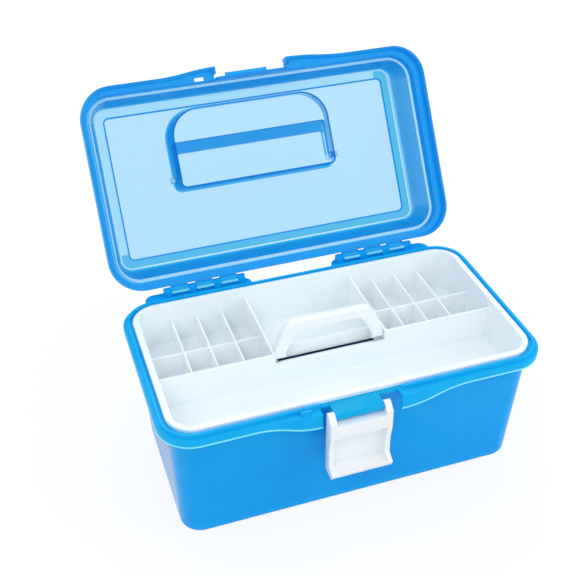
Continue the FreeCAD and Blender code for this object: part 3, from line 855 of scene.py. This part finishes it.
@dataclass
class HingePins:
    """The two hinge pins: round bars with domed ends, one Geometry Nodes tree for both."""

    dome: float = 0.6 * MM
    sides: int = 28
    rings: int = 12
    equator: float = 0.001
    weld: float = 0.001 * MM
    finish: ClearBlue = field(default_factory=lambda: ClearBlue(
        name="pin_clear_blue", pale_tint=(0.45, 0.84, 0.99), deep_tint=(0.05, 0.5, 0.9),
        body=(0.05, 0.52, 0.92), body_dark=(0.03, 0.45, 0.88), cloud=0.45, cloud_at_slant=0.6,
        roughness=0.10))

    def tree(self, material: bpy.types.Material) -> bpy.types.NodeTree:
        """A tree that lays two round-ended pins along X, either side of the middle.

        Args:
            material: The pins' material.

        Returns:
            The node group, with inputs Middle, Length, Radius, Back, Height and Dome.
        """
        tree = bpy.data.node_groups.new("hinge_pin_pair", "GeometryNodeTree")
        for name in ("Middle", "Length", "Radius", "Back", "Height", "Dome"):
            tree.interface.new_socket(name, in_out="INPUT", socket_type="NodeSocketFloat")
        tree.interface.new_socket("Geometry", in_out="OUTPUT", socket_type="NodeSocketGeometry")
        graph = Graph(tree)
        given = tree.nodes.new("NodeGroupInput")
        size = {s.name: Wire(graph, s) for s in given.outputs if s.name}
        half = size["Length"] * 0.5
        body = graph.add("GeometryNodeMeshCylinder", {"fill_type": "NONE"}, {
            "Vertices": self.sides, "Radius": size["Radius"],
            "Depth": size["Length"] - 2 * size["Dome"]}, "Mesh")
        ball = graph.add("GeometryNodeMeshUVSphere", {}, {
            "Segments": self.sides, "Rings": self.rings, "Radius": 1.0})
        height = graph.add("ShaderNodeSeparateXYZ", {}, {
            0: graph.add("GeometryNodeInputPosition", {}, {})}, "Z")
        ends = []
        for sign, test in ((1, "LESS_THAN"), (-1, "GREATER_THAN")):
            drop = graph.add("FunctionNodeCompare", {"operation": test}, {
                0: height, 1: -sign * self.equator})
            cap = graph.add("GeometryNodeDeleteGeometry", {}, {"Geometry": ball, "Selection": drop})
            scale = graph.add("ShaderNodeCombineXYZ", {}, {
                0: size["Radius"], 1: size["Radius"], 2: size["Dome"]})
            place = graph.add("ShaderNodeCombineXYZ", {}, {2: sign * (half - size["Dome"])})
            ends.append(graph.add("GeometryNodeTransform", {}, {
                "Geometry": cap, "Translation": place, "Scale": scale}))
        pin = graph.add("GeometryNodeJoinGeometry", {}, {})
        for part in (body, *ends):
            tree.links.new(part.socket, pin.socket.node.inputs[0])
        pin = graph.add("GeometryNodeMergeByDistance", {}, {"Geometry": pin, "Distance": self.weld})
        along = graph.add("GeometryNodeTransform", {}, {
            "Geometry": pin, "Rotation": (0.0, math.pi / 2, 0.0)})
        start = graph.add("ShaderNodeCombineXYZ", {}, {
            0: -1 * size["Middle"], 1: size["Back"], 2: size["Height"]})
        step = graph.add("ShaderNodeCombineXYZ", {}, {0: 2 * size["Middle"]})
        points = graph.add("GeometryNodeMeshLine", {}, {
            "Count": 2, "Start Location": start, "Offset": step})
        pins = graph.add("GeometryNodeInstanceOnPoints", {}, {"Points": points, "Instance": along})
        real = graph.add("GeometryNodeRealizeInstances", {}, {"Geometry": pins})
        dressed = graph.add("GeometryNodeSetMaterial", {}, {"Geometry": real, "Material": material})
        graph.add("NodeGroupOutput", {}, {0: dressed})
        return tree

    def build(self) -> None:
        """Make the pins where the CAD pins are."""
        low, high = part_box("hinge_pin_right")
        material = self.finish.material()
        tree = self.tree(material)
        sizes = {
            "Middle": (low.x + high.x) / 2, "Length": high.x - low.x,
            "Radius": (high.z - low.z) / 2, "Back": (low.y + high.y) / 2,
            "Height": (low.z + high.z) / 2, "Dome": self.dome}
        pins = made_from_tree("hinge_pins", tree, sizes)
        finish_piece(pins, Body.TUB, Slot.BLUE, "hinge_pin_left", "hinge_pin_right")


def made_from_tree(name: str, tree: bpy.types.NodeTree, sizes: dict[str, float]) -> bpy.types.Object:
    """A plain mesh object from a Geometry Nodes tree.

    Args:
        name: The piece's name.
        tree: The node group.
        sizes: The tree's inputs by name.

    Returns:
        The object, at the origin.
    """
    piece = bpy.data.objects.new(name, bpy.data.meshes.new(name))
    bpy.context.scene.collection.objects.link(piece)
    modifier = piece.modifiers.new(name, "NODES")
    modifier.node_group = tree
    for item in tree.interface.items_tree:
        if item.in_out == "INPUT" and item.name in sizes:
            modifier[item.identifier] = sizes[item.name]
    piece.update_tag()
    bpy.context.view_layer.update()
    return made_plain(piece, PIN_SHARP_OVER)


@dataclass(frozen=True)
class Lamp:
    """A square area lamp: its place and size in metres, and its power in watts."""

    name: str
    place: Place
    size: float
    watts: float


@dataclass
class Studio:
    """The pale floor, the soft lights and the camera at the photograph's angle."""

    floor_half: float = 6.0
    paper: Colour = (0.80, 0.81, 0.82)
    glow: float = 1.07
    glow_share: float = 0.76
    sky: Colour = (0.95, 0.98, 1.0)
    sky_strength: float = 0.79
    aim: Place = (0.0, 0.03, 0.10)
    lamps: tuple[Lamp, ...] = (
        Lamp("key", (-0.8, -1.2, 1.6), 1.2, 9.5),
        Lamp("fill", (1.4, -0.8, 0.9), 1.4, 7.0),
        Lamp("back", (0.2, 1.3, 1.3), 1.0, 7.0))
    camera_place: Place = (-0.2148, -0.5570, 0.5857)
    camera_right: Place = (0.94796, -0.31826, -0.00930)
    camera_up: Place = (0.19323, 0.55184, 0.81126)
    focal_pixels: float = 967.36
    image_pixels: float = 576.0
    sensor: float = 36.0

    def seen_by_eye(self, graph: Graph) -> Wire:
        """Tell rays by which the surround is seen from rays that carry its light.

        Args:
            graph: The graph of the floor's material or of the world.

        Returns:
            1 for the first and 0 for the second.
        """
        total: Any = 0.0
        for ray in Seen:
            total = graph.add("ShaderNodeLightPath", {}, {}, ray.value) + total
        return total.clamped()

    def floor(self) -> None:
        """A wide white floor that keeps the box's shadow."""
        shape = bmesh.new()
        bmesh.ops.create_grid(shape, x_segments=1, y_segments=1, size=self.floor_half)
        mesh = bpy.data.meshes.new("studio_floor")
        shape.to_mesh(mesh)
        shape.free()
        floor = bpy.data.objects.new("studio_floor", mesh)
        bpy.context.scene.collection.objects.link(floor)
        material, graph = new_material("studio_white")
        paper = graph.add("ShaderNodeBsdfDiffuse", {}, {"Color": rgba(self.paper)})
        glow = graph.add("ShaderNodeEmission", {}, {"Color": rgba(WHITE), "Strength": self.glow})
        lit = graph.mix(self.glow_share, paper, glow)
        surface = graph.mix(self.seen_by_eye(graph), paper, lit)
        graph.add("ShaderNodeOutputMaterial", {}, {"Surface": surface})
        mesh.materials.append(material)

    def surround(self) -> None:
        """An even white world, softer as light than it looks."""
        world = bpy.data.worlds.new("studio_world")
        world.use_nodes = True
        graph = Graph(world.node_tree)
        light = graph.add("ShaderNodeBackground", {}, {
            "Color": rgba(self.sky), "Strength": self.sky_strength})
        seen = graph.add("ShaderNodeBackground", {}, {"Color": rgba(WHITE), "Strength": 1.0})
        surface = graph.mix(self.seen_by_eye(graph), light, seen)
        graph.add("ShaderNodeOutputWorld", {}, {"Surface": surface})
        bpy.context.scene.world = world

    def hang_lamps(self) -> None:
        """Hang the soft lamps: a key from the left, a fill from the right and one behind."""
        for lamp in self.lamps:
            light = bpy.data.lights.new(lamp.name, "AREA")
            light.energy = lamp.watts
            light.size = lamp.size
            stand = bpy.data.objects.new(lamp.name, light)
            stand.location = lamp.place
            way = Vector(self.aim) - Vector(lamp.place)
            stand.rotation_euler = way.to_track_quat("-Z", "Y").to_euler()
            bpy.context.scene.collection.objects.link(stand)

    def camera(self) -> None:
        """The camera, from the fit of its view to the photograph."""
        data = bpy.data.cameras.new("photo_camera")
        data.sensor_width = self.sensor
        data.lens = self.sensor * self.focal_pixels / self.image_pixels
        right, up = Vector(self.camera_right), Vector(self.camera_up)
        turn = Matrix((right, up, right.cross(up))).transposed().to_4x4()
        camera = bpy.data.objects.new("photo_camera", data)
        camera.matrix_world = Matrix.Translation(self.camera_place) @ turn
        bpy.context.scene.collection.objects.link(camera)
        bpy.context.scene.camera = camera

    def build(self) -> None:
        """Set the whole studio up."""
        self.camera()
        self.floor()
        self.surround()
        self.hang_lamps()
        bpy.context.scene.view_settings.view_transform = "Standard"


def main() -> None:
    """Build the studio and every sub-assembly, in order."""
    logging.basicConfig(level=logging.INFO, format="%(name)s: %(message)s")
    Studio().build()
    for assembly in (TubAssembly(), LidAssembly(), HingePins(), TrayAssembly(), LatchAssembly()):
        assembly.build()


if __name__ == "__main__":
    main()
